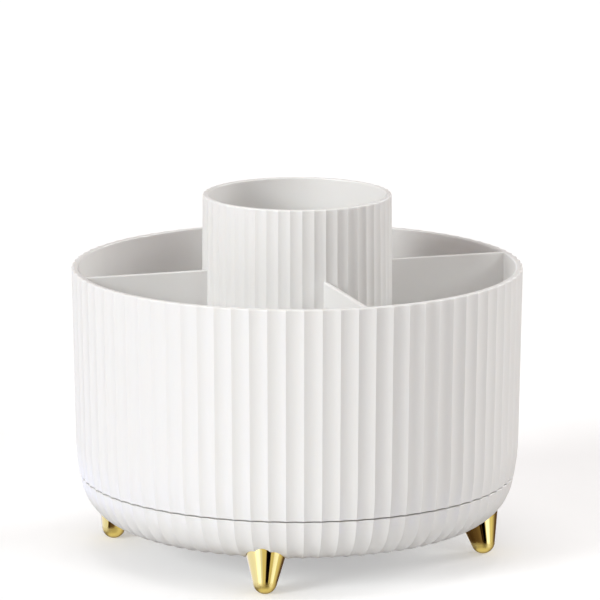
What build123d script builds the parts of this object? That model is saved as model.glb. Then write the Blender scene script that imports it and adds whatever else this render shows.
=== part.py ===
from build123d import *
import math
import os

# Rotating organizer: a fluted tub with a tall centre cup and four partitions turns on a ball
# bearing inside a shallow bowl that stands on four splayed feet. Millimetres, +Z up. The origin
# is on the floor, on the turning axis. The partitions lie along the X and Y axes.

# Outside profile of tub and base together, measured on the ridges of the flutes
rim_height = 103.3
rim_radius = 80.5
wall_draft = 1.0
bowl_radius = 72.7
bowl_turn = 12.8
heel_radius = 17.4
heel_cut = 10.0
underside_height = 11.35
seam_height = 28.1
seam_gap = 0.5

# Mouldings
wall = 2.4
lip_round = 0.5
seam_round = 0.25
inside_corner = 6.0
tub_floor = 2.4
tub_floor_rise = 3.4
flute_count = 80
flute_depth = 0.58
flute_skin = 0.35
skirt = 1.8
overlap = 0.7

# Centre cup
cup_rise = 25.8
cup_radius = 33.6
cup_wall = 1.9
cup_outer_draft = 0.5
cup_inner_draft = 0.25
cup_corner = 4.0
cup_flute_count = 50
cup_flute_depth = 0.33

# Partitions
partition_count = 4
partition_top = 1.6
partition_draft = 0.33
partition_round = 0.45

# Dust lip of the base, standing inside the skirt of the tub
dust_lip = 1.2
dust_lip_rise = 2.0
dust_lip_clearance = 0.5

# Ball bearing
ball_diameter = 6.0
ball_count = 12
ball_circle_radius = 42.0
race_width = 9.0
race_web = 0.9
race_groove_depth = 0.6
race_groove_margin = 0.15
race_clearance = 0.03
race_ledge = 1.2
race_shoulder = 1.6
race_shoulder_rise = 0.8
race_seat_clearance = 0.1
cage_width = 7.6
cage_thickness = 2.4
cage_clearance = 0.1

# Spindle, bush and hub
spindle_radius = 5.5
spindle_clearance = 0.05
spindle_play = 0.2
spindle_collar = 2.5
spindle_collar_height = 4.0
bush_wall = 1.8
bush_flange = 2.4
bush_flange_thickness = 1.2
bush_seat_clearance = 0.03
bush_flange_gap = 0.8
hub_wall = 3.0
hub_web = 2.4
recess_margin = 1.6
recess_wall = 2.2
washer_overlap = 2.5
washer_thickness = 1.2

# Screws
spindle_screw_radius = 2.0
spindle_screw_length = 12.0
foot_screw_radius = 1.5
foot_screw_length = 9.0
screw_fit = 0.05
screw_hole_clearance = 0.25
screw_hole_spare = 1.0
screw_head_width = 1.9
screw_head_height = 1.1
screw_head_sink = 0.6
screw_head_round = 0.5
screw_slot_length = 1.2
screw_slot_width = 0.3
screw_slot_depth = 0.6
screw_tip = 0.3

# Feet
foot_count = 4
foot_turn_flutes = 14
foot_circle_radius = 67.6
foot_splay = 10.9
foot_flare = 15.3
foot_tip_radius = 4.25
foot_tip_height = 4.1
foot_recess = 1.0
foot_fit = 0.12
foot_seat_gap = 0.05
spigot_radius = 4.4
spigot_length = 6.0
boss_wall = 2.0
boss_ceiling = 2.2

# Angles of the profile's arcs, below the horizontal through their centres
shoulder_angle = math.radians(wall_draft)
turn_angle = math.radians(wall_draft + bowl_turn)
heel_angle = math.radians(90 - heel_cut)

# Centres of the two arcs, which meet the straight wall and each other with common tangents
heel_centre_height = underside_height + heel_radius * math.sin(heel_angle)
bowl_centre_height = heel_centre_height + (bowl_radius - heel_radius) * math.sin(turn_angle)
shoulder_height = bowl_centre_height - bowl_radius * math.sin(shoulder_angle)
shoulder_radius = rim_radius - (rim_height - shoulder_height) * math.tan(shoulder_angle)
bowl_centre_radius = shoulder_radius - bowl_radius * math.cos(shoulder_angle)
heel_centre_radius = bowl_centre_radius + (bowl_radius - heel_radius) * math.cos(turn_angle)
bowl_centre = (bowl_centre_radius, bowl_centre_height)
heel_centre = (heel_centre_radius, heel_centre_height)


def on_arc(centre, radius, angle):
    """Point of a profile arc at this angle below the horizontal."""
    return (centre[0] + radius * math.cos(angle), centre[1] - radius * math.sin(angle))


def wall_radius(height, shift):
    """Radius of the straight wall at this height, moved outwards by shift."""
    start = on_arc(bowl_centre, bowl_radius + shift, shoulder_angle)
    return start[0] + (height - start[1]) * math.tan(shoulder_angle)


def side_lines(shift, top, end_angle):
    """Wall, bowl arc and heel arc moved outwards by shift; gives the first and the last point."""
    start = (wall_radius(top, shift), top)
    shoulder = on_arc(bowl_centre, bowl_radius + shift, shoulder_angle)
    bowl_middle = on_arc(bowl_centre, bowl_radius + shift, (shoulder_angle + turn_angle) / 2)
    turn = on_arc(heel_centre, heel_radius + shift, turn_angle)
    heel_middle = on_arc(heel_centre, heel_radius + shift, (turn_angle + end_angle) / 2)
    end = on_arc(heel_centre, heel_radius + shift, end_angle)
    Line(start, shoulder)
    ThreePointArc(shoulder, bowl_middle, turn)
    ThreePointArc(turn, heel_middle, end)
    return start, end


def side_outline(shift, inner, top):
    """Closed outline between an inner radius and the side moved outwards by shift."""
    reach = (heel_centre_height - underside_height) / (heel_radius + shift)
    start, end = side_lines(shift, top, math.asin(min(1, reach)))
    Polyline(end, (inner, end[1]), (inner, top), start)


def block(inner, outer, bottom, top, mode=Mode.ADD):
    """Rectangle of a turned section between two radii and two heights."""
    with Locations((inner, bottom)):
        Rectangle(outer - inner, top - bottom, align=(Align.MIN, Align.MIN), mode=mode)


def upright_plane(angle):
    """Plane through the Z axis whose local X points outwards at this angle and local Y upwards."""
    turn = math.radians(angle)
    outwards = (math.cos(turn), math.sin(turn), 0)
    return Plane((0, 0, 0), x_dir=outwards, z_dir=(outwards[1], -outwards[0], 0))


def cutter_radius(chord_radius, count, depth):
    """Radius of the round cutter whose flutes of this depth meet in sharp ridges."""
    half_chord = chord_radius * math.sin(math.pi / count)
    return (half_chord ** 2 + depth ** 2) / (2 * depth)


def outer_edge(face):
    """Curved edge of a sector's flat face that lies furthest out along X."""
    curved = face.edges().filter_by(GeomType.LINE, reverse=True)
    return curved.sort_by(lambda edge: edge.center().X)[-1]


# Heights and radii that follow from the sizes above
base_floor_top = heel_centre_height - (heel_radius - wall)
seam_top = seam_height + seam_gap / 2
seam_bottom = seam_height - seam_gap / 2
tub_floor_bottom = seam_height + tub_floor_rise
tub_floor_top = tub_floor_bottom + tub_floor
cup_top = rim_height + cup_rise
seam_drop = math.asin((bowl_centre_height - seam_height) / bowl_radius)
seam_radius = on_arc(bowl_centre, bowl_radius, seam_drop)[0]
skirt_radius = seam_radius - skirt
dust_lip_outer = skirt_radius - dust_lip_clearance
dust_lip_inner = dust_lip_outer - dust_lip
ball_radius = ball_diameter / 2
ball_height = (base_floor_top + tub_floor_bottom) / 2
race_inner = ball_circle_radius - race_width / 2
race_outer = ball_circle_radius + race_width / 2
race_back = ball_radius + race_clearance + race_web
rib_inner = race_inner - race_seat_clearance - race_shoulder
rib_outer = race_outer + race_seat_clearance + race_shoulder
core_radius = rib_outer + wall
bush_radius = spindle_radius + spindle_clearance + bush_wall
hub_radius = bush_radius + bush_seat_clearance + hub_wall
hub_top = tub_floor_bottom - spindle_collar_height - bush_flange_gap - bush_flange_thickness
washer_radius = bush_radius + washer_overlap
recess_radius = washer_radius + recess_margin
spindle_head_height = screw_head_height * spindle_screw_radius
spindle_end = underside_height + screw_head_sink + spindle_head_height + washer_thickness
recess_ceiling = spindle_end + spindle_play

# Path of the round cutter beside the outside profile, running out of the underside
flute_pitch = 360 / flute_count
flute_cutter = cutter_radius(rim_radius, flute_count, flute_depth)
with BuildLine(Plane.XZ) as side_line:
    _, run_out = side_lines(flute_cutter - flute_depth, rim_height + wall, heel_angle)
    run_out_drop = heel_radius * math.cos(heel_angle)
    Line(run_out, (run_out[0] - heel_radius * math.sin(heel_angle), run_out[1] - run_out_drop))
flute_path = side_line.wires()[0]

# One flute of the tub's wall and skirt
with BuildPart() as tub_sector:
    with BuildSketch(upright_plane(-flute_pitch / 2)) as tub_section:
        with BuildLine():
            side_outline(flute_skin, core_radius, rim_height)
        make_face()
        block(0, 2 * rim_radius, seam_top, rim_height, mode=Mode.INTERSECT)
        inner_foot = (wall_radius(tub_floor_top, -wall), tub_floor_top)
        inner_rim = (wall_radius(cup_top, -wall), cup_top)
        with BuildLine():
            Polyline((0, tub_floor_top), inner_foot, inner_rim, (0, cup_top), (0, tub_floor_top))
        make_face(mode=Mode.SUBTRACT)
        block(0, skirt_radius, 0, tub_floor_bottom, mode=Mode.SUBTRACT)
        fillet(tub_section.vertices().sort_by_distance(inner_foot)[0], inside_corner)
        inner_lip = (wall_radius(rim_height, -wall), rim_height)
        fillet(tub_section.vertices().sort_by_distance(inner_lip)[0], lip_round)
    revolve(axis=Axis.Z, revolution_arc=flute_pitch)
    with BuildSketch(Plane(flute_path @ 0, z_dir=flute_path % 0)):
        Circle(flute_cutter)
    sweep(path=flute_path, mode=Mode.SUBTRACT)
    fillet(outer_edge(tub_sector.faces().sort_by(Axis.Z)[-1]), lip_round)
    fillet(outer_edge(tub_sector.faces().sort_by(Axis.Z)[0]), seam_round)

# One flute of the base with its dust lip
with BuildPart() as base_sector:
    with BuildSketch(upright_plane(-flute_pitch / 2)) as base_section:
        with BuildLine():
            side_outline(flute_skin, core_radius, rim_height)
        make_face()
        block(0, 2 * rim_radius, underside_height, seam_bottom, mode=Mode.INTERSECT)
        block(dust_lip_outer - wall, dust_lip_outer, seam_bottom - wall, seam_height + dust_lip_rise)
        with BuildSketch(mode=Mode.SUBTRACT):
            with BuildLine():
                side_outline(-wall, 0, rim_height)
            make_face()
            block(0, dust_lip_inner, 0, rim_height, mode=Mode.INTERSECT)
    revolve(axis=Axis.Z, revolution_arc=flute_pitch)
    with BuildSketch(Plane(flute_path @ 0, z_dir=flute_path % 0)):
        Circle(flute_cutter)
    sweep(path=flute_path, mode=Mode.SUBTRACT)
    flat_faces = base_sector.faces().filter_by(Plane.XY)
    seam_face = flat_faces.sort_by(lambda face: abs(face.center().Z - seam_bottom))[0]
    fillet(outer_edge(seam_face), seam_round)

# One flute of the centre cup
cup_pitch = 360 / cup_flute_count
cup_cutter = cutter_radius(cup_radius, cup_flute_count, cup_flute_depth)
cup_foot_radius = cup_radius + (cup_top - tub_floor_top) * math.tan(math.radians(cup_outer_draft))
cup_rim_inner = cup_radius - cup_wall
cup_foot_inner = cup_rim_inner - (cup_top - tub_floor_top) * math.tan(math.radians(cup_inner_draft))
with BuildLine(Plane.XZ) as cup_line:
    cup_shift = cup_cutter - cup_flute_depth
    cup_lean = math.tan(math.radians(cup_outer_draft))
    high = cup_top + wall
    low = tub_floor_bottom
    start = (cup_radius + cup_shift - wall * cup_lean, high)
    Line(start, (start[0] + (high - low) * cup_lean, low))
cup_path = cup_line.wires()[0]
with BuildPart() as cup_sector:
    with BuildSketch(upright_plane(-cup_pitch / 2)) as cup_section:
        corner_start = cup_foot_inner - cup_corner - overlap
        with BuildLine():
            Polyline(
                (corner_start, tub_floor_top - overlap),
                (cup_foot_radius + flute_skin, tub_floor_top - overlap),
                (cup_radius + flute_skin, cup_top),
                (corner_start, cup_top),
                close=True,
            )
        make_face()
        with BuildSketch(mode=Mode.SUBTRACT):
            with BuildLine():
                Polyline(
                    (0, tub_floor_top),
                    (cup_foot_inner, tub_floor_top),
                    (cup_rim_inner, cup_top),
                    (0, cup_top),
                    close=True,
                )
            make_face()
        fillet(cup_section.vertices().sort_by_distance((cup_foot_inner, tub_floor_top))[0], cup_corner)
        fillet(cup_section.vertices().sort_by_distance((cup_rim_inner, cup_top))[0], lip_round)
    revolve(axis=Axis.Z, revolution_arc=cup_pitch)
    with BuildSketch(Plane(cup_path @ 0, z_dir=cup_path % 0)):
        Circle(cup_cutter)
    sweep(path=cup_path, mode=Mode.SUBTRACT)
    fillet(outer_edge(cup_sector.faces().sort_by(Axis.Z)[-1]), lip_round)

# Partitions, reaching into the walls of cup and tub
with BuildPart() as partitions:
    partition_inner = cup_radius - (cup_wall + cup_flute_depth) / 2
    partition_bottom = tub_floor_top - overlap
    half_top = partition_top / 2
    half_bottom = half_top + (rim_height - partition_bottom) * math.tan(math.radians(partition_draft))
    with BuildSketch(Plane.YZ.offset(partition_inner)) as partition_section:
        with BuildLine():
            Polyline(
                (-half_bottom, partition_bottom),
                (half_bottom, partition_bottom),
                (half_top, rim_height),
                (-half_top, rim_height),
                close=True,
            )
        make_face()
        fillet(partition_section.vertices().group_by(Axis.Y)[-1], partition_round)
    extrude(amount=rim_radius - partition_inner)
    with BuildSketch(Plane.XZ):
        with BuildLine():
            side_outline(-(wall + flute_depth) / 2, 0, rim_height)
        make_face()
    revolve(axis=Axis.Z, mode=Mode.INTERSECT)

# Tub: fluted wall, cup, partitions, floor with the ribs of the upper race, and the spindle
with BuildPart() as tub:
    with BuildSketch(Plane.XZ):
        block(0, core_radius, tub_floor_bottom, tub_floor_top)
        upper_seat = ball_height + race_back
        block(rib_inner, race_inner + race_ledge, upper_seat, tub_floor_bottom)
        block(race_outer - race_ledge, rib_outer, upper_seat, tub_floor_bottom)
        for start in (rib_inner, rib_outer - race_shoulder):
            block(start, start + race_shoulder, upper_seat - race_shoulder_rise, upper_seat)
        block(0, spindle_radius + spindle_collar, tub_floor_bottom - spindle_collar_height, tub_floor_bottom)
        block(0, spindle_radius, spindle_end, tub_floor_bottom)
        screw_reach = spindle_end - washer_thickness + spindle_screw_length + screw_hole_spare
        block(0, spindle_screw_radius + screw_fit, spindle_end, screw_reach, mode=Mode.SUBTRACT)
    revolve(axis=Axis.Z)
    with PolarLocations(0, flute_count):
        add(tub_sector.part)
    with PolarLocations(0, cup_flute_count):
        add(cup_sector.part)
    with PolarLocations(0, partition_count):
        add(partitions.part)

# Bush pressed into the hub, its flange on top
with BuildPart() as bush:
    with BuildSketch(Plane.XZ):
        block(spindle_radius + spindle_clearance, bush_radius, recess_ceiling, hub_top)
        flange_inner = spindle_radius + spindle_clearance
        block(flange_inner, bush_radius + bush_flange, hub_top, hub_top + bush_flange_thickness)
    revolve(axis=Axis.Z)

# Races, the lower one first and the upper one turned over above the balls
groove_radius = ball_radius + race_groove_margin
groove_shift = ball_radius + race_clearance - groove_radius
race_face = race_back - race_web - race_groove_depth
with BuildPart() as lower_race:
    with BuildSketch(Plane.XZ):
        block(race_inner, race_outer, ball_height - race_back, ball_height - race_face)
        with Locations((ball_circle_radius, ball_height - groove_shift)):
            Circle(groove_radius, mode=Mode.SUBTRACT)
    revolve(axis=Axis.Z)
with BuildPart() as upper_race:
    with BuildSketch(Plane.XZ):
        block(race_inner, race_outer, ball_height + race_face, ball_height + race_back)
        with Locations((ball_circle_radius, ball_height + groove_shift)):
            Circle(groove_radius, mode=Mode.SUBTRACT)
    revolve(axis=Axis.Z)

# Balls and the cage that spaces them
with BuildPart() as balls:
    with PolarLocations(ball_circle_radius, ball_count):
        with Locations((0, 0, ball_height)):
            Sphere(ball_radius)
with BuildPart() as ball_cage:
    with BuildSketch(Plane.XY.offset(ball_height - cage_thickness / 2)):
        Circle(ball_circle_radius + cage_width / 2)
        Circle(ball_circle_radius - cage_width / 2, mode=Mode.SUBTRACT)
        with PolarLocations(ball_circle_radius, ball_count):
            Circle(ball_radius + cage_clearance, mode=Mode.SUBTRACT)
    extrude(amount=cage_thickness)


def screw(radius, length):
    """Pan-head screw with a cross slot: head above the origin, shank below it."""
    head_radius = screw_head_width * radius
    head_height = screw_head_height * radius
    with BuildPart() as body:
        with BuildSketch(Plane.XZ) as section:
            block(0, radius, -length, 0)
            block(0, head_radius, 0, head_height)
            chamfer(section.vertices().sort_by_distance((radius, -length))[0], screw_tip * radius)
            head_corner = section.vertices().sort_by_distance((head_radius, head_height))[0]
            fillet(head_corner, screw_head_round * head_height)
        revolve(axis=Axis.Z)
        with BuildSketch(Plane.XY.offset(head_height)):
            Rectangle(screw_slot_length * head_radius, screw_slot_width * radius)
            Rectangle(screw_slot_width * radius, screw_slot_length * head_radius)
        extrude(amount=-screw_slot_depth * head_height, mode=Mode.SUBTRACT)
    return body.part


# Washer and screw that keep the tub on the base
with BuildPart() as washer:
    with BuildSketch(Plane.XY.offset(spindle_end - washer_thickness)):
        Circle(washer_radius)
        Circle(spindle_screw_radius + screw_hole_clearance, mode=Mode.SUBTRACT)
    extrude(amount=washer_thickness)
with BuildPart() as spindle_screw:
    with Locations(Location((0, 0, spindle_end - washer_thickness), (180, 0, 0))):
        add(screw(spindle_screw_radius, spindle_screw_length))

# Feet: a cone with a round tip along a splayed axis, cut off flat at the floor, its top shaped
# to the recess in the base and carrying a spigot for the screw. All lengths along that axis are
# counted from the centre of the round tip.
splay = math.radians(foot_splay)
flare = math.radians(foot_flare)
foot_plane = Plane(
    (foot_circle_radius, 0, foot_tip_height),
    x_dir=(math.cos(splay), 0, math.sin(splay)),
    z_dir=(0, -1, 0),
)
foot_axis = Axis((foot_circle_radius, 0, foot_tip_height), (-math.sin(splay), 0, math.cos(splay)))
spigot_top = (underside_height - foot_tip_height) / math.cos(splay) + spigot_length
boss_top = spigot_top + foot_fit + boss_ceiling
cone_top = boss_top + spigot_length


def cone_outline(shift):
    """Closed half section of the foot's cone moved outwards by shift, right of its axis."""
    radius = foot_tip_radius + shift
    tangent = (radius * math.cos(flare), -radius * math.sin(flare))
    middle = (radius * math.sin(math.pi / 4), -radius * math.cos(math.pi / 4))
    top = radius / math.cos(flare) + cone_top * math.tan(flare)
    ThreePointArc((0, -radius), middle, tangent)
    Polyline(tangent, (top, cone_top), (0, cone_top), (0, -radius))


with BuildPart() as foot:
    with BuildSketch(foot_plane):
        with BuildLine():
            cone_outline(0)
        make_face()
    revolve(axis=foot_axis)
    with BuildSketch(Plane.XZ):
        with BuildLine():
            side_outline(foot_seat_gap - foot_recess, 0, rim_height)
        make_face()
        block(0, 2 * rim_radius, -2 * foot_tip_height, 0)
    revolve(axis=Axis.Z, mode=Mode.SUBTRACT)
    with BuildSketch(foot_plane):
        block(0, spigot_radius, foot_tip_height, spigot_top)
    revolve(axis=foot_axis)
    with BuildSketch(foot_plane):
        thread_end = boss_top - foot_screw_length - screw_hole_spare
        block(0, foot_screw_radius + screw_fit, thread_end, boss_top)
    revolve(axis=foot_axis, mode=Mode.SUBTRACT)

# What each foot needs in the base: a boss inside the bowl, and the space taken out of it
with BuildPart() as foot_boss:
    with BuildSketch(foot_plane):
        block(0, spigot_radius + foot_fit + boss_wall, 0, boss_top)
    revolve(axis=foot_axis)
    with BuildSketch(Plane.XZ):
        with BuildLine():
            side_outline(-(flute_depth + foot_recess) / 2, 0, rim_height)
        make_face()
    revolve(axis=Axis.Z, mode=Mode.INTERSECT)
with BuildPart() as foot_socket:
    with BuildSketch(foot_plane):
        with BuildLine():
            cone_outline(foot_fit)
        make_face()
    revolve(axis=foot_axis)
    with BuildSketch(Plane.XZ):
        with BuildLine():
            side_outline(-foot_recess, 0, rim_height)
        make_face()
    revolve(axis=Axis.Z, mode=Mode.SUBTRACT)
    with BuildSketch(foot_plane):
        block(0, spigot_radius + foot_fit, 0, spigot_top + foot_fit)
        block(0, foot_screw_radius + screw_hole_clearance, 0, cone_top)
    revolve(axis=foot_axis)

foot_angle = foot_turn_flutes * flute_pitch

# Base: fluted bowl, floor with the ribs of the lower race, hub, and bosses for the feet
with BuildPart() as base:
    with BuildSketch(Plane.XZ):
        block(0, core_radius, underside_height, base_floor_top)
        lower_seat = ball_height - race_back
        block(rib_inner, race_inner + race_ledge, base_floor_top, lower_seat)
        block(race_outer - race_ledge, rib_outer, base_floor_top, lower_seat)
        for start in (rib_inner, rib_outer - race_shoulder):
            block(start, start + race_shoulder, lower_seat, lower_seat + race_shoulder_rise)
        block(0, recess_radius + recess_wall, underside_height, recess_ceiling + hub_web)
        block(0, hub_radius, underside_height, hub_top)
        block(0, recess_radius, 0, recess_ceiling, mode=Mode.SUBTRACT)
        block(0, bush_radius + bush_seat_clearance, 0, hub_top, mode=Mode.SUBTRACT)
    revolve(axis=Axis.Z)
    with PolarLocations(0, flute_count):
        add(base_sector.part)
    with PolarLocations(0, foot_count, start_angle=foot_angle):
        add(foot_boss.part)
    with PolarLocations(0, foot_count, start_angle=foot_angle):
        add(foot_socket.part, mode=Mode.SUBTRACT)

# Screws of the feet, one group
screw_seat = foot_plane.from_local_coords((0, boss_top, 0))
with BuildPart() as foot_screw:
    with Locations(Location(screw_seat, (0, -foot_splay, 0))):
        add(screw(foot_screw_radius, foot_screw_length))
with BuildPart() as foot_screws:
    with PolarLocations(0, foot_count, start_angle=foot_angle):
        add(foot_screw.part)

pieces = {
    "tub": tub.part,
    "base": base.part,
    "upper_race": upper_race.part,
    "lower_race": lower_race.part,
    "balls": balls.part,
    "ball_cage": ball_cage.part,
    "bush": bush.part,
    "washer": washer.part,
    "spindle_screw": spindle_screw.part,
    "foot_screws": foot_screws.part,
}
for number in range(foot_count):
    with BuildPart() as placed_foot:
        with PolarLocations(0, 1, start_angle=foot_angle + number * 360 / foot_count):
            add(foot.part)
    pieces["foot_" + str(number + 1)] = placed_foot.part

os.makedirs("parts", exist_ok=True)
for name, piece in pieces.items():
    piece.label = name
    export_step(piece, "parts/" + name + ".step")
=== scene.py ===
"""Looks of the rotating organizer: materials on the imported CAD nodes, floor, lights and camera."""

import math

import bpy
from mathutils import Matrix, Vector

MM = 0.001
FEET = 4

# Colours of the two finishes that show
WHITE = (0.820, 0.812, 0.800)
GOLD = (0.800, 0.610, 0.170)

# Heights between which the gold feet go from polished to rubbed dull, and how dull they get
RUBBED_FROM = 5.6 * MM
RUBBED_TO = 3.4 * MM
RUBBED_ROUGHNESS = 0.30

# Most of a noise texture's values lie between these two
NOISE_LOW = 0.3
NOISE_HIGH = 0.7

# Camera, fitted to the photograph: place and depth in metres, turn and pitch in degrees, lens and
# sensor in millimetres
VIEW_PLACE = (-0.4970, -1.5797, 0.4313)
VIEW_TURN = 17.5
VIEW_PITCH = 11.635
LENS = 283.7
SENSOR = 36.0
VIEW_DEPTH = 50

# Suns: name, azimuth, elevation, strength, softness, colour. Angles are in degrees, and an azimuth
# counts from the camera's side towards the picture's right.
SUNS = [
    ("key", -53, 22, 2.14, 22, (0.960, 0.998, 1.0)),
    ("fill_right", 45, 25, 0.50, 20, (0.93, 1.0, 0.98)),
    ("back_right", 120, 18, 1.34, 24, (1, 1, 0.99)),
    ("top", -40, 86, 0.70, 30, (1, 1, 1)),
]

# Level of the even surroundings, and their tint at level 0, AMBIENT, PALE_LEVEL and 1 or more
AMBIENT = 0.365
PALE_LEVEL = 0.95
GAP_COLOUR = (1.0, 0.55, 0.35)
AMBIENT_COLOUR = (1.0, 0.89, 0.87)
PALE_COLOUR = (1.0, 1.0, 0.95)
PANEL_COLOUR = (0.90, 1.0, 1.7)

# Floor: half its width in metres, and its glow in the camera's view
FLOOR_REACH = 12.0
FLOOR_GLOW = 0.36

# What polished pieces mirror below the horizon: (azimuth, level) of light panels and dark gaps, in
# four bands from nearly level to steep. Each band starts at its edge, the sine of a downward angle.
LEVEL_BAND = [
    (-180, 0.7), (-150, 1.2), (-93, 1.2), (-67, 1.3), (-55, 2.2), (-38, 2.2), (-30, 1.1), (-21, 0.85),
    (1, 0.8), (5, 0.0), (27, 0.0), (31, 0.9), (60, 0.92), (95, 0.9), (112, 0.5), (125, 0.15), (180, 0.05),
]
MIDDLE_BAND = [
    (-180, 0.05), (-125, 0.08), (-105, 1.0), (-70, 1.1), (-62, 0.05), (-45, 0.05), (-36, 1.0), (0, 0.6),
    (14, 0.3), (24, 0.0), (42, 0.0), (46, 0.6), (52, 2.0), (74, 2.0), (84, 0.9), (120, 0.6), (150, 0.1),
    (180, 0.05),
]
SLANTED_BAND = [
    (-180, 0.05), (-100, 0.07), (-60, 0.10), (-25, 0.14), (4, 0.22), (10, 0.0), (34, 0.0), (40, 0.6),
    (60, 0.85), (110, 0.8), (130, 0.3), (150, 0.1), (180, 0.05),
]
STEEP_BAND = [(-180, 0.6), (-120, 0.9), (-60, 0.95), (60, 0.95), (120, 0.8), (180, 0.6)]
BANDS = (LEVEL_BAND, MIDDLE_BAND, SLANTED_BAND, STEEP_BAND)
BAND_EDGES = (0.27, 0.45, 0.62, 0.77)
BAND_SOFTNESS = 0.03


def new_material(name):
    """New node material; gives the material, its nodes, its links and the shader."""
    material = bpy.data.materials.new(name)
    material.use_nodes = True
    tree = material.node_tree
    return material, tree.nodes, tree.links, tree.nodes["Principled BSDF"]


def scaled(colour, factor):
    """Colour made darker or lighter by a factor."""
    return tuple(channel * factor for channel in colour)


def maths(nodes, links, operation, first, second):
    """Number worked out from a value and either another value or a fixed number."""
    node = nodes.new("ShaderNodeMath")
    node.operation = operation
    links.new(first, node.inputs[0])
    if isinstance(second, (int, float)):
        node.inputs[1].default_value = second
    else:
        links.new(second, node.inputs[1])
    return node.outputs["Value"]


def noise(nodes, links, scale, detail=3.0, stretch=(1, 1, 1)):
    """Noise texture in object coordinates, stretched along the axes."""
    coordinates = nodes.new("ShaderNodeTexCoord")
    mapping = nodes.new("ShaderNodeMapping")
    mapping.inputs["Scale"].default_value = stretch
    texture = nodes.new("ShaderNodeTexNoise")
    texture.inputs["Scale"].default_value = scale
    texture.inputs["Detail"].default_value = detail
    links.new(coordinates.outputs["Object"], mapping.inputs["Vector"])
    links.new(mapping.outputs["Vector"], texture.inputs["Vector"])
    return texture.outputs["Fac"]


def spread(nodes, links, value, low, high):
    """Maps a noise value onto the range from low to high."""
    node = nodes.new("ShaderNodeMapRange")
    node.inputs["From Min"].default_value = NOISE_LOW
    node.inputs["From Max"].default_value = NOISE_HIGH
    node.inputs["To Min"].default_value = low
    node.inputs["To Max"].default_value = high
    links.new(value, node.inputs["Value"])
    return node.outputs["Result"]


def blend_colour(nodes, links, value, first, second):
    """Colour that runs from the first to the second with a noise value."""
    ramp = nodes.new("ShaderNodeValToRGB")
    start, end = ramp.color_ramp.elements
    start.position = NOISE_LOW
    start.color = (*first, 1)
    end.position = NOISE_HIGH
    end.color = (*second, 1)
    links.new(value, ramp.inputs["Fac"])
    return ramp.outputs["Color"]


def bump(nodes, links, shader, value, distance, strength):
    """Adds a height to the shader's normal, after any height it already has."""
    node = nodes.new("ShaderNodeBump")
    node.inputs["Strength"].default_value = strength
    node.inputs["Distance"].default_value = distance
    links.new(value, node.inputs["Height"])
    for link in list(shader.inputs["Normal"].links):
        links.new(link.from_socket, node.inputs["Normal"])
        links.remove(link)
    links.new(node.outputs["Normal"], shader.inputs["Normal"])


def white_plastic():
    """Warm white moulding: satin gloss, faint flow tint, fine moulded skin."""
    material, nodes, links, shader = new_material("white_plastic")
    flow = noise(nodes, links, scale=9, detail=4, stretch=(1, 1, 0.35))
    tint = blend_colour(nodes, links, flow, scaled(WHITE, 0.985), scaled(WHITE, 1.012))
    links.new(tint, shader.inputs["Base Color"])
    polish = noise(nodes, links, scale=60, detail=5)
    links.new(spread(nodes, links, polish, low=0.30, high=0.40), shader.inputs["Roughness"])
    skin = noise(nodes, links, scale=2600, detail=2)
    bump(nodes, links, shader, skin, distance=0.004 * MM, strength=0.35)
    wave = noise(nodes, links, scale=55, detail=2)
    bump(nodes, links, shader, wave, distance=0.03 * MM, strength=0.25)
    shader.inputs["IOR"].default_value = 1.5
    shader.inputs["Subsurface Weight"].default_value = 0.12
    shader.inputs["Subsurface Radius"].default_value = (1.0, 0.85, 0.7)
    shader.inputs["Subsurface Scale"].default_value = 1.5 * MM
    return material


def rubbed_tip(nodes, links):
    """Roughness that the gold of a foot gains towards its tip."""
    place = nodes.new("ShaderNodeSeparateXYZ")
    links.new(nodes.new("ShaderNodeTexCoord").outputs["Object"], place.inputs["Vector"])
    rubbed = nodes.new("ShaderNodeMapRange")
    rubbed.interpolation_type = "SMOOTHSTEP"
    rubbed.inputs["From Min"].default_value = RUBBED_FROM
    rubbed.inputs["From Max"].default_value = RUBBED_TO
    rubbed.inputs["To Max"].default_value = RUBBED_ROUGHNESS
    links.new(place.outputs["Z"], rubbed.inputs["Value"])
    return rubbed.outputs["Result"]


def gold_plating():
    """Polished gold plating: mirror bright, faint polishing lines and haze, rubbed dull at the tip."""
    material, nodes, links, shader = new_material("gold_plating")
    haze = noise(nodes, links, scale=140, detail=5)
    tint = blend_colour(nodes, links, haze, scaled(GOLD, 0.95), GOLD)
    links.new(tint, shader.inputs["Base Color"])
    polished = spread(nodes, links, haze, low=0.035, high=0.075)
    rough = maths(nodes, links, "ADD", polished, rubbed_tip(nodes, links))
    links.new(rough, shader.inputs["Roughness"])
    lines = noise(nodes, links, scale=900, detail=3, stretch=(1, 1, 0.1))
    bump(nodes, links, shader, lines, distance=0.004 * MM, strength=0.1)
    shader.inputs["Metallic"].default_value = 1.0
    return material


def steel(name, colour, low, high, grain):
    """Bare or zinc-plated steel: drawn or turned grain, roughness from low to high."""
    material, nodes, links, shader = new_material(name)
    lines = noise(nodes, links, scale=grain, detail=6, stretch=(1, 1, 0.2))
    tint = blend_colour(nodes, links, lines, scaled(colour, 0.88), colour)
    links.new(tint, shader.inputs["Base Color"])
    links.new(spread(nodes, links, lines, low, high), shader.inputs["Roughness"])
    bump(nodes, links, shader, lines, distance=0.01 * MM, strength=0.3)
    shader.inputs["Metallic"].default_value = 1.0
    return material


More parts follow.
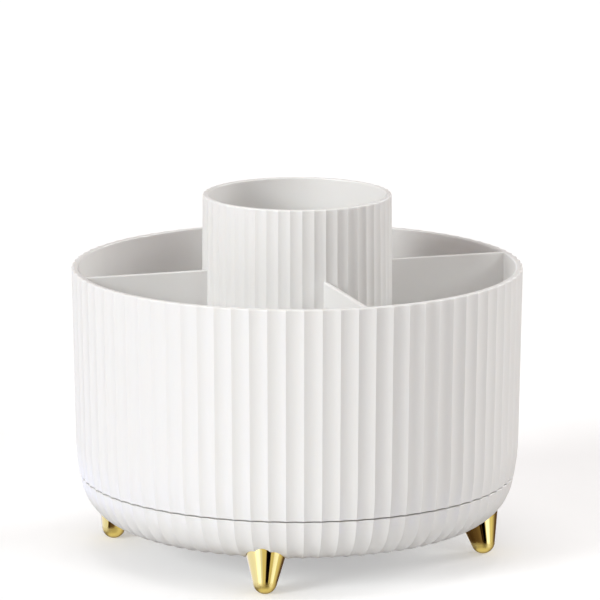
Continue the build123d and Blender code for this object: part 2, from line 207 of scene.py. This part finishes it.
def acetal():
    """Natural acetal of the bush and the ball cage: waxy, slightly translucent."""
    material, nodes, links, shader = new_material("acetal")
    cloud = noise(nodes, links, scale=120, detail=4)
    tint = blend_colour(nodes, links, cloud, (0.70, 0.69, 0.64), (0.78, 0.77, 0.72))
    links.new(tint, shader.inputs["Base Color"])
    links.new(spread(nodes, links, cloud, low=0.38, high=0.5), shader.inputs["Roughness"])
    grain = noise(nodes, links, scale=1500)
    bump(nodes, links, shader, grain, distance=0.01 * MM, strength=0.3)
    shader.inputs["Subsurface Weight"].default_value = 0.2
    shader.inputs["Subsurface Radius"].default_value = (1.0, 0.9, 0.7)
    shader.inputs["Subsurface Scale"].default_value = 1.0 * MM
    return material


def dress(nodes):
    """Gives each CAD node its material."""
    white = white_plastic()
    gold = gold_plating()
    race = steel("race_steel", (0.56, 0.56, 0.57), low=0.25, high=0.4, grain=300)
    ball = steel("ball_steel", (0.72, 0.72, 0.73), low=0.06, high=0.1, grain=200)
    zinc = steel("zinc_steel", (0.66, 0.67, 0.68), low=0.22, high=0.38, grain=500)
    natural = acetal()
    materials = {
        "tub": white,
        "base": white,
        "upper_race": race,
        "lower_race": race,
        "balls": ball,
        "ball_cage": natural,
        "bush": natural,
        "washer": zinc,
        "spindle_screw": zinc,
        "foot_screws": zinc,
    }
    for number in range(1, FEET + 1):
        materials[f"foot_{number}"] = gold
    for name, node in nodes.items():
        node.data.materials.clear()
        node.data.materials.append(materials[name])


def floor_paper():
    """Pale matt paper that looks brighter to the camera than to the pieces it lights."""
    material, nodes, links, shader = new_material("floor_paper")
    grain = noise(nodes, links, scale=40, detail=4)
    tint = blend_colour(nodes, links, grain, (0.68, 0.68, 0.68), (0.70, 0.70, 0.70))
    links.new(tint, shader.inputs["Base Color"])
    shader.inputs["Roughness"].default_value = 0.8
    shader.inputs["Emission Color"].default_value = (1, 1, 1, 1)
    seen = nodes.new("ShaderNodeLightPath").outputs["Is Camera Ray"]
    glow = maths(nodes, links, "MULTIPLY", seen, FLOOR_GLOW)
    links.new(glow, shader.inputs["Emission Strength"])
    return material


def pale_floor():
    """Plain pale floor, wide enough to fill every view; no piece mirrors it."""
    far = FLOOR_REACH
    corners = [(-far, -far, 0), (far, -far, 0), (far, far, 0), (-far, far, 0)]
    mesh = bpy.data.meshes.new("pale_floor")
    mesh.from_pydata(corners, [], [(0, 1, 2, 3)])
    floor = bpy.data.objects.new("pale_floor", mesh)
    bpy.context.scene.collection.objects.link(floor)
    floor.data.materials.append(floor_paper())
    floor.visible_glossy = False


def sun(name, azimuth, elevation, strength, softness, colour):
    """Soft distant light from an azimuth and an elevation."""
    data = bpy.data.lights.new(name, "SUN")
    data.energy = strength
    data.angle = math.radians(softness)
    data.color = colour
    light = bpy.data.objects.new(name, data)
    turn = math.radians(azimuth - VIEW_TURN)
    rise = math.radians(elevation)
    source = Vector((math.sin(turn) * math.cos(rise), -math.cos(turn) * math.cos(rise), math.sin(rise)))
    light.rotation_euler = source.to_track_quat("Z", "Y").to_euler()
    bpy.context.scene.collection.objects.link(light)


def view_direction(nodes, links):
    """Azimuth of a direction, as a share of the way from -180 to 180 degrees, and its height."""
    turned = nodes.new("ShaderNodeVectorRotate")
    turned.rotation_type = "Z_AXIS"
    turned.inputs["Angle"].default_value = math.radians(VIEW_TURN)
    links.new(nodes.new("ShaderNodeTexCoord").outputs["Generated"], turned.inputs["Vector"])
    parts = nodes.new("ShaderNodeSeparateXYZ")
    links.new(turned.outputs["Vector"], parts.inputs["Vector"])
    ahead = maths(nodes, links, "MULTIPLY", parts.outputs["Y"], -1)
    angle = maths(nodes, links, "ARCTAN2", parts.outputs["X"], ahead)
    share = nodes.new("ShaderNodeMapRange")
    share.inputs["From Min"].default_value = -math.pi
    share.inputs["From Max"].default_value = math.pi
    links.new(angle, share.inputs["Value"])
    return share.outputs["Result"], parts.outputs["Z"]


def azimuth_ramp(nodes, links, azimuth, stops):
    """Level that follows the azimuth through stops of (degrees, level)."""
    ramp = nodes.new("ShaderNodeValToRGB")
    points = ramp.color_ramp.elements
    while len(points) < len(stops):
        points.new(0.5)
    peak = max(level for _, level in stops)
    for point, (degrees, level) in zip(points, stops):
        point.position = degrees / 360 + 0.5
        point.color = (level / peak, level / peak, level / peak, 1)
    links.new(azimuth, ramp.inputs["Fac"])
    return maths(nodes, links, "MULTIPLY", ramp.outputs["Color"], peak)


def step_down(nodes, links, height, edge, above, below):
    """Goes from the level above to the level below where the direction dips past the edge."""
    share = nodes.new("ShaderNodeMapRange")
    share.interpolation_type = "SMOOTHSTEP"
    share.inputs["From Min"].default_value = -BAND_SOFTNESS - edge
    share.inputs["From Max"].default_value = BAND_SOFTNESS - edge
    links.new(height, share.inputs["Value"])
    mix = nodes.new("ShaderNodeMix")
    links.new(share.outputs["Result"], mix.inputs["Factor"])
    links.new(below, mix.inputs["A"])
    links.new(above, mix.inputs["B"])
    return mix.outputs["Result"]


def surroundings():
    """Even surroundings, with light panels and dark gaps below the horizon for the gold to mirror."""
    world = bpy.data.worlds.new("studio")
    world.use_nodes = True
    nodes, links = world.node_tree.nodes, world.node_tree.links
    azimuth, height = view_direction(nodes, links)
    even = nodes.new("ShaderNodeValue")
    level = even.outputs["Value"]
    level.default_value = AMBIENT
    for edge, stops in zip(BAND_EDGES, BANDS):
        band = azimuth_ramp(nodes, links, azimuth, stops)
        level = step_down(nodes, links, height, edge, level, band)
    tint = nodes.new("ShaderNodeValToRGB")
    points = tint.color_ramp.elements
    points[0].color = (*GAP_COLOUR, 1)
    points[1].color = (*PANEL_COLOUR, 1)
    points.new(AMBIENT).color = (*AMBIENT_COLOUR, 1)
    points.new(PALE_LEVEL).color = (*PALE_COLOUR, 1)
    links.new(level, tint.inputs["Fac"])
    background = nodes["Background"]
    links.new(tint.outputs["Color"], background.inputs["Color"])
    links.new(level, background.inputs["Strength"])
    bpy.context.scene.world = world


def camera():
    """Camera at the photograph's place, turned left of the part's front and looking down a little."""
    data = bpy.data.cameras.new("camera")
    data.sensor_width = SENSOR
    data.lens = LENS
    data.clip_end = VIEW_DEPTH
    view = bpy.data.objects.new("camera", data)
    view.location = VIEW_PLACE
    view.rotation_euler = (math.radians(90 - VIEW_PITCH), 0, math.radians(-VIEW_TURN))
    bpy.context.scene.collection.objects.link(view)
    bpy.context.scene.camera = view


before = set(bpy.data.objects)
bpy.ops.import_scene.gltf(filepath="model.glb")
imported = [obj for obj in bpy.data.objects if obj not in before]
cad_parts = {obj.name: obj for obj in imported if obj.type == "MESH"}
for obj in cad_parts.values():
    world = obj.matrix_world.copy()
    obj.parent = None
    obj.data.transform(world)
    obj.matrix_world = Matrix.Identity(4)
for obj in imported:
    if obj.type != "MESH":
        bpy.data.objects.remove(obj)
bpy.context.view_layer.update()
dress(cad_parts)
pale_floor()
for light in SUNS:
    sun(*light)
surroundings()
camera()
bpy.context.scene.view_settings.view_transform = "Standard"
